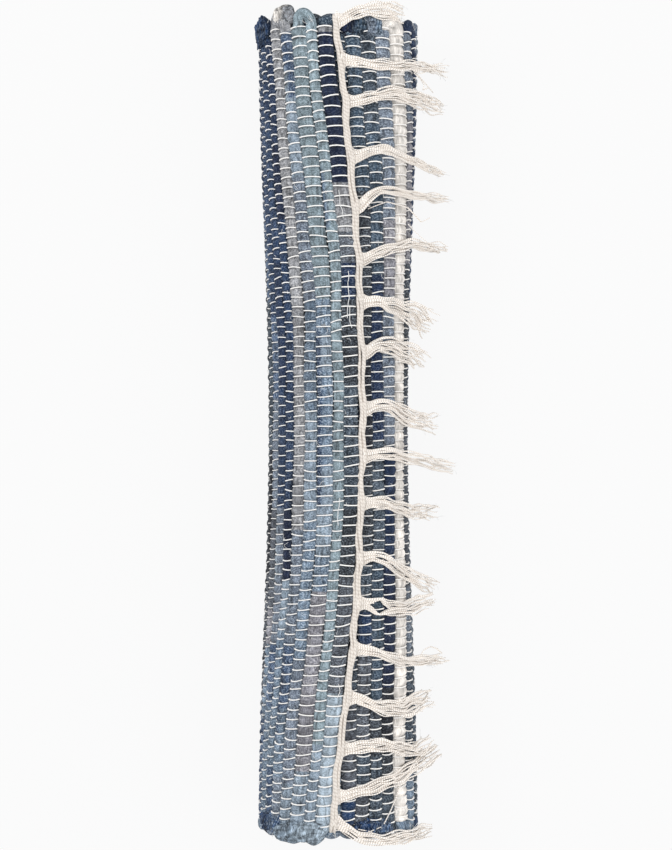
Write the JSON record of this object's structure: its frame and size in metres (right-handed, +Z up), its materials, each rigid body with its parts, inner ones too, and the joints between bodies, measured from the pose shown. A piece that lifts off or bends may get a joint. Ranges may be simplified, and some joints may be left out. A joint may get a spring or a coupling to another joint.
{
  "type": "rolled runner rug",
  "caption": "Rag-woven denim runner rug rolled into a cylinder lying on its side; the free end unrolls and its knotted cotton tassels lift.",
  "frame": {"origin": "the middle of the flat strip that the roll lies on, half way along the roll", "axes": "+Y along the roll, across the weave; +X towards the side where the free end's tassels hang; +Z up"},
  "size_m": [0.1367, 0.6009, 0.1106],
  "materials": {
    "indigo_denim": "dark indigo denim rag, matt twill",
    "washed_denim": "mid-blue washed denim rag, matt twill",
    "faded_teal_denim": "pale bleached teal denim rag, matt and soft",
    "grey_denim": "taupe-grey cotton rag, matt",
    "charcoal_denim": "charcoal denim rag, matt",
    "natural_cotton": "unbleached twisted cotton yarn, matt"
  },
  "bodies": {
    "roll": {"inner_fringe": "natural_cotton", "inner_header_cord": "natural_cotton", "weft_band_08": "washed_denim", "weft_band_09": "charcoal_denim", "weft_band_10": "grey_denim", "weft_band_11": "indigo_denim", "weft_band_12": "faded_teal_denim", "weft_band_13": "washed_denim", "weft_band_14": "charcoal_denim", "weft_band_15": "grey_denim", "weft_band_16": "indigo_denim", "weft_band_17": "faded_teal_denim", "weft_band_18": "washed_denim", "weft_band_19": "charcoal_denim", "weft_band_20": "grey_denim", "weft_band_21": "indigo_denim", "weft_band_22": "faded_teal_denim", "weft_band_23": "washed_denim", "weft_band_24": "charcoal_denim", "weft_band_25": "grey_denim", "weft_band_26": "indigo_denim", "weft_band_27": "faded_teal_denim"},
    "flap_07": {"weft_band_07": "charcoal_denim"},
    "flap_06": {"weft_band_06": "washed_denim"},
    "flap_05": {"weft_band_05": "indigo_denim"},
    "flap_04": {"weft_band_04": "indigo_denim"},
    "flap_03": {"weft_band_03": "grey_denim"},
    "flap_02": {"weft_band_02": "washed_denim"},
    "flap_01": {"weft_band_01": "faded_teal_denim", "header_cord": "natural_cotton"},
    "tassel_01": {"tassel_01": "natural_cotton"},
    "tassel_02": {"tassel_02": "natural_cotton"},
    "tassel_03": {"tassel_03": "natural_cotton"},
    "tassel_04": {"tassel_04": "natural_cotton"},
    "tassel_05": {"tassel_05": "natural_cotton"},
    "tassel_06": {"tassel_06": "natural_cotton"},
    "tassel_07": {"tassel_07": "natural_cotton"},
    "tassel_08": {"tassel_08": "natural_cotton"},
    "tassel_09": {"tassel_09": "natural_cotton"},
    "tassel_10": {"tassel_10": "natural_cotton"},
    "tassel_11": {"tassel_11": "natural_cotton"},
    "tassel_12": {"tassel_12": "natural_cotton"},
    "tassel_13": {"tassel_13": "natural_cotton"},
    "tassel_14": {"tassel_14": "natural_cotton"},
    "tassel_15": {"tassel_15": "natural_cotton"},
    "tassel_16": {"tassel_16": "natural_cotton"},
    "tassel_17": {"tassel_17": "natural_cotton"},
    "tassel_18": {"tassel_18": "natural_cotton"}
  },
  "joints": [
    {"name": "unroll_07", "type": "hinge", "parent": "roll", "child": "flap_07", "pos_m": [-0.01499, 0, 0], "axis": [0, -1, 0], "range_deg": [0, 28.5]},
    {"name": "unroll_06", "type": "hinge", "parent": "flap_07", "child": "flap_06", "pos_m": [-0.03691, 0, 0.01189], "axis": [0, -1, 0], "range_deg": [0, 26.7]},
    {"name": "unroll_05", "type": "hinge", "parent": "flap_06", "child": "flap_05", "pos_m": [-0.05122, 0, 0.03231], "axis": [0, -1, 0], "range_deg": [0, 26.5]},
    {"name": "unroll_04", "type": "hinge", "parent": "flap_05", "child": "flap_04", "pos_m": [-0.05502, 0, 0.05695], "axis": [0, -1, 0], "range_deg": [0, 26.3]},
    {"name": "unroll_03", "type": "hinge", "parent": "flap_04", "child": "flap_03", "pos_m": [-0.04759, 0, 0.08075], "axis": [0, -1, 0], "range_deg": [0, 26.1]},
    {"name": "unroll_02", "type": "hinge", "parent": "flap_03", "child": "flap_02", "pos_m": [-0.03053, 0, 0.09892], "axis": [0, -1, 0], "range_deg": [0, 25.9]},
    {"name": "unroll_01", "type": "hinge", "parent": "flap_02", "child": "flap_01", "pos_m": [-0.00727, 0, 0.10788], "axis": [0, -1, 0], "range_deg": [0, 25.7]},
    {"name": "tassel_01_lift", "type": "hinge", "parent": "flap_01", "child": "tassel_01", "pos_m": [0.00262, 0.2955, 0.10724], "axis": [0, -1, 0], "range_deg": [0, 130]},
    {"name": "tassel_02_lift", "type": "hinge", "parent": "flap_01", "child": "tassel_02", "pos_m": [0.0061, 0.26404, 0.10703], "axis": [0, -1, 0], "range_deg": [0, 130]},
    {"name": "tassel_03_lift", "type": "hinge", "parent": "flap_01", "child": "tassel_03", "pos_m": [0.00961, 0.23097, 0.10658], "axis": [0, -1, 0], "range_deg": [0, 130]},
    {"name": "tassel_04_lift", "type": "hinge", "parent": "flap_01", "child": "tassel_04", "pos_m": [0.01342, 0.19201, 0.10583], "axis": [0, -1, 0], "range_deg": [0, 130]},
    {"name": "tassel_05_lift", "type": "hinge", "parent": "flap_01", "child": "tassel_05", "pos_m": [0.01633, 0.15804, 0.10507], "axis": [0, -1, 0], "range_deg": [0, 130]},
    {"name": "tassel_06_lift", "type": "hinge", "parent": "flap_01", "child": "tassel_06", "pos_m": [0.0189, 0.12198, 0.10426], "axis": [0, -1, 0], "range_deg": [0, 130]},
    {"name": "tassel_07_lift", "type": "hinge", "parent": "flap_01", "child": "tassel_07", "pos_m": [0.02072, 0.08901, 0.1036], "axis": [0, -1, 0], "range_deg": [0, 130]},
    {"name": "tassel_08_lift", "type": "hinge", "parent": "flap_01", "child": "tassel_08", "pos_m": [0.02211, 0.05205, 0.10305], "axis": [0, -1, 0], "range_deg": [0, 130]},
    {"name": "tassel_09_lift", "type": "hinge", "parent": "flap_01", "child": "tassel_09", "pos_m": [0.02279, 0.01298, 0.10276], "axis": [0, -1, 0], "range_deg": [0, 130]},
    {"name": "tassel_10_lift", "type": "hinge", "parent": "flap_01", "child": "tassel_10", "pos_m": [0.02273, -0.01998, 0.10279], "axis": [0, -1, 0], "range_deg": [0, 130]},
    {"name": "tassel_11_lift", "type": "hinge", "parent": "flap_01", "child": "tassel_11", "pos_m": [0.0219, -0.05905, 0.10313], "axis": [0, -1, 0], "range_deg": [0, 130]},
    {"name": "tassel_12_lift", "type": "hinge", "parent": "flap_01", "child": "tassel_12", "pos_m": [0.02048, -0.09401, 0.10369], "axis": [0, -1, 0], "range_deg": [0, 130]},
    {"name": "tassel_13_lift", "type": "hinge", "parent": "flap_01", "child": "tassel_13", "pos_m": [0.01878, -0.12398, 0.1043], "axis": [0, -1, 0], "range_deg": [0, 130]},
    {"name": "tassel_14_lift", "type": "hinge", "parent": "flap_01", "child": "tassel_14", "pos_m": [0.01593, -0.16304, 0.10519], "axis": [0, -1, 0], "range_deg": [0, 130]},
    {"name": "tassel_15_lift", "type": "hinge", "parent": "flap_01", "child": "tassel_15", "pos_m": [0.01268, -0.20001, 0.106], "axis": [0, -1, 0], "range_deg": [0, 130]},
    {"name": "tassel_16_lift", "type": "hinge", "parent": "flap_01", "child": "tassel_16", "pos_m": [0.0092, -0.23497, 0.10664], "axis": [0, -1, 0], "range_deg": [0, 130]},
    {"name": "tassel_17_lift", "type": "hinge", "parent": "flap_01", "child": "tassel_17", "pos_m": [0.00577, -0.26704, 0.10706], "axis": [0, -1, 0], "range_deg": [0, 130]},
    {"name": "tassel_18_lift", "type": "hinge", "parent": "flap_01", "child": "tassel_18", "pos_m": [0.00357, -0.287, 0.10721], "axis": [0, -1, 0], "range_deg": [0, 130]}
  ],
  "couplings": [
    {"joint": "unroll_06", "follows": "unroll_07", "ratio": 0.9298},
    {"joint": "unroll_05", "follows": "unroll_07", "ratio": 0.9227},
    {"joint": "unroll_04", "follows": "unroll_07", "ratio": 0.9157},
    {"joint": "unroll_03", "follows": "unroll_07", "ratio": 0.909},
    {"joint": "unroll_02", "follows": "unroll_07", "ratio": 0.9023},
    {"joint": "unroll_01", "follows": "unroll_07", "ratio": 0.8956}
  ]
}
